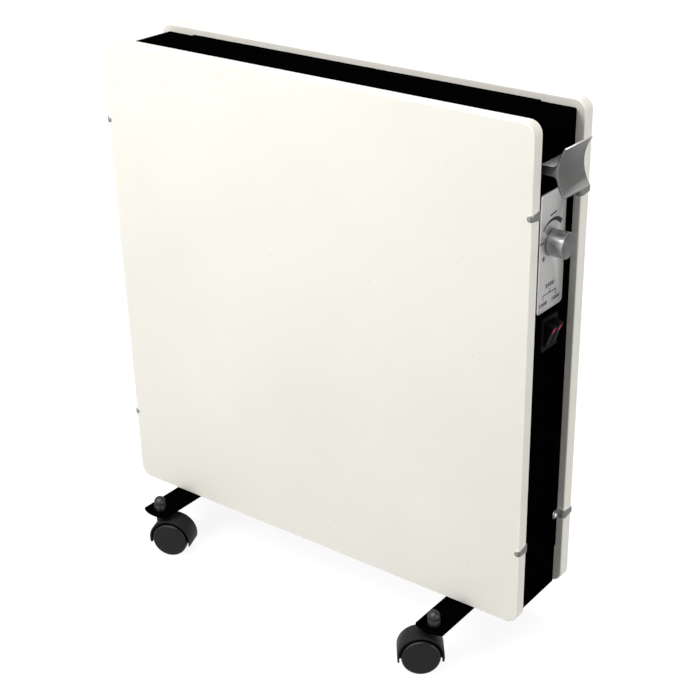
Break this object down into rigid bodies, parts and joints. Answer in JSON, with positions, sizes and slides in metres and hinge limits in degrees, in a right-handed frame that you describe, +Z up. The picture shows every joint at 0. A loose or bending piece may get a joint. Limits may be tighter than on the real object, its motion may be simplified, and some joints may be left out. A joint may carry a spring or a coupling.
{
  "type": "storage heater",
  "caption": "Panel heater with stone slabs clipped to a flat steel chassis, a side handle, thermostat knob and rocker switches, on cross feet with swivelling castors.",
  "frame": {"origin": "on the floor, under the middle of the heater's overall width and depth", "axes": "+Z up, front slab towards -Y, handle and controls on the +X side"},
  "size_m": [0.5168, 0.246, 0.553],
  "materials": {
    "stone": "satin",
    "black_steel": "matte",
    "mica": "matte",
    "mineral_wool": "matte",
    "cutout_metal": "satin",
    "control_plastic": "satin",
    "terminal_ceramic": "matte",
    "wire_sleeve": "matte",
    "black_nylon": "matte",
    "silver_plate": "satin",
    "silver_knob": "satin",
    "steel": "satin",
    "red_lens": "gloss",
    "handle_aluminium": "satin",
    "clip_steel": "satin",
    "bright_screws": "polished",
    "dark_steel": "satin",
    "castor_nylon": "satin",
    "wheel_nylon": "satin"
  },
  "bodies": {
    "heater": {"front_panel": "stone", "rear_panel": "stone", "chassis": "black_steel", "front_cover": "black_steel", "rear_cover": "black_steel", "front_heating_sheet": "mica", "rear_heating_sheet": "mica", "front_insulation": "mineral_wool", "rear_insulation": "mineral_wool", "thermal_cutouts": "cutout_metal", "thermostat": "control_plastic", "terminal_block": "terminal_ceramic", "wiring": "wire_sleeve", "cord_gland": "black_nylon", "gland_nut": "black_nylon", "control_plate": "silver_plate", "switch_housing": "control_plastic", "handle": "handle_aluminium", "handle_screws": "steel", "front_clips": "clip_steel", "rear_clips": "clip_steel", "clip_screws": "bright_screws", "left_foot": "black_steel", "right_foot": "black_steel", "foot_screws": "dark_steel", "foot_nuts": "dark_steel", "castor_stems": "steel", "cap_nuts": "dark_steel"},
    "knob": {"knob": "silver_knob", "knob_shaft": "steel"},
    "front_rocker": {"front_rocker": "control_plastic", "front_lens": "red_lens"},
    "rear_rocker": {"rear_rocker": "control_plastic", "rear_lens": "red_lens"},
    "castor_front_left": {"housing_front_left": "castor_nylon", "axle_front_left": "steel"},
    "wheel_front_left_inner": {"wheel_front_left_inner": "wheel_nylon"},
    "wheel_front_left_outer": {"wheel_front_left_outer": "wheel_nylon"},
    "castor_front_right": {"housing_front_right": "castor_nylon", "axle_front_right": "steel"},
    "wheel_front_right_inner": {"wheel_front_right_inner": "wheel_nylon"},
    "wheel_front_right_outer": {"wheel_front_right_outer": "wheel_nylon"},
    "castor_rear_left": {"housing_rear_left": "castor_nylon", "axle_rear_left": "steel"},
    "wheel_rear_left_inner": {"wheel_rear_left_inner": "wheel_nylon"},
    "wheel_rear_left_outer": {"wheel_rear_left_outer": "wheel_nylon"},
    "castor_rear_right": {"housing_rear_right": "castor_nylon", "axle_rear_right": "steel"},
    "wheel_rear_right_inner": {"wheel_rear_right_inner": "wheel_nylon"},
    "wheel_rear_right_outer": {"wheel_rear_right_outer": "wheel_nylon"}
  },
  "joints": [
    {"name": "knob_turn", "type": "hinge", "parent": "heater", "child": "knob", "pos_m": [0.23602, 0, 0.433], "axis": [-1, 0, 0], "range_deg": [0, 270]},
    {"name": "front_rocker_tip", "type": "hinge", "parent": "heater", "child": "front_rocker", "pos_m": [0.23522, -0.00545, 0.346], "axis": [0, -1, 0], "range_deg": [0, 16]},
    {"name": "rear_rocker_tip", "type": "hinge", "parent": "heater", "child": "rear_rocker", "pos_m": [0.23522, 0.00545, 0.346], "axis": [0, -1, 0], "range_deg": [0, 16]},
    {"name": "swivel_front_left", "type": "hinge", "parent": "heater", "child": "castor_front_left", "pos_m": [-0.18968, -0.0917, 0.048], "axis": [0, 0, 1], "continuous": true},
    {"name": "roll_front_left_inner", "type": "hinge", "parent": "castor_front_left", "child": "wheel_front_left_inner", "pos_m": [-0.17762, -0.08683, 0.0195], "axis": [-0.3746, 0.9272, 0], "continuous": true},
    {"name": "roll_front_left_outer", "type": "hinge", "parent": "castor_front_left", "child": "wheel_front_left_outer", "pos_m": [-0.17762, -0.08683, 0.0195], "axis": [-0.3746, 0.9272, 0], "continuous": true},
    {"name": "swivel_front_right", "type": "hinge", "parent": "heater", "child": "castor_front_right", "pos_m": [0.17532, -0.0917, 0.048], "axis": [0, 0, 1], "continuous": true},
    {"name": "roll_front_right_inner", "type": "hinge", "parent": "castor_front_right", "child": "wheel_front_right_inner", "pos_m": [0.16501, -0.09961, 0.0195], "axis": [0.6088, -0.7934, 0], "continuous": true},
    {"name": "roll_front_right_outer", "type": "hinge", "parent": "castor_front_right", "child": "wheel_front_right_outer", "pos_m": [0.16501, -0.09961, 0.0195], "axis": [0.6088, -0.7934, 0], "continuous": true},
    {"name": "swivel_rear_left", "type": "hinge", "parent": "heater", "child": "castor_rear_left", "pos_m": [-0.18968, 0.0917, 0.048], "axis": [0, 0, 1], "continuous": true},
    {"name": "roll_rear_left_inner", "type": "hinge", "parent": "castor_rear_left", "child": "wheel_rear_left_inner", "pos_m": [-0.17762, 0.08683, 0.0195], "axis": [0.3746, 0.9272, 0], "continuous": true},
    {"name": "roll_rear_left_outer", "type": "hinge", "parent": "castor_rear_left", "child": "wheel_rear_left_outer", "pos_m": [-0.17762, 0.08683, 0.0195], "axis": [0.3746, 0.9272, 0], "continuous": true},
    {"name": "swivel_rear_right", "type": "hinge", "parent": "heater", "child": "castor_rear_right", "pos_m": [0.17532, 0.0917, 0.048], "axis": [0, 0, 1], "continuous": true},
    {"name": "roll_rear_right_inner", "type": "hinge", "parent": "castor_rear_right", "child": "wheel_rear_right_inner", "pos_m": [0.16501, 0.09961, 0.0195], "axis": [-0.6088, -0.7934, 0], "continuous": true},
    {"name": "roll_rear_right_outer", "type": "hinge", "parent": "castor_rear_right", "child": "wheel_rear_right_outer", "pos_m": [0.16501, 0.09961, 0.0195], "axis": [-0.6088, -0.7934, 0], "continuous": true}
  ]
}
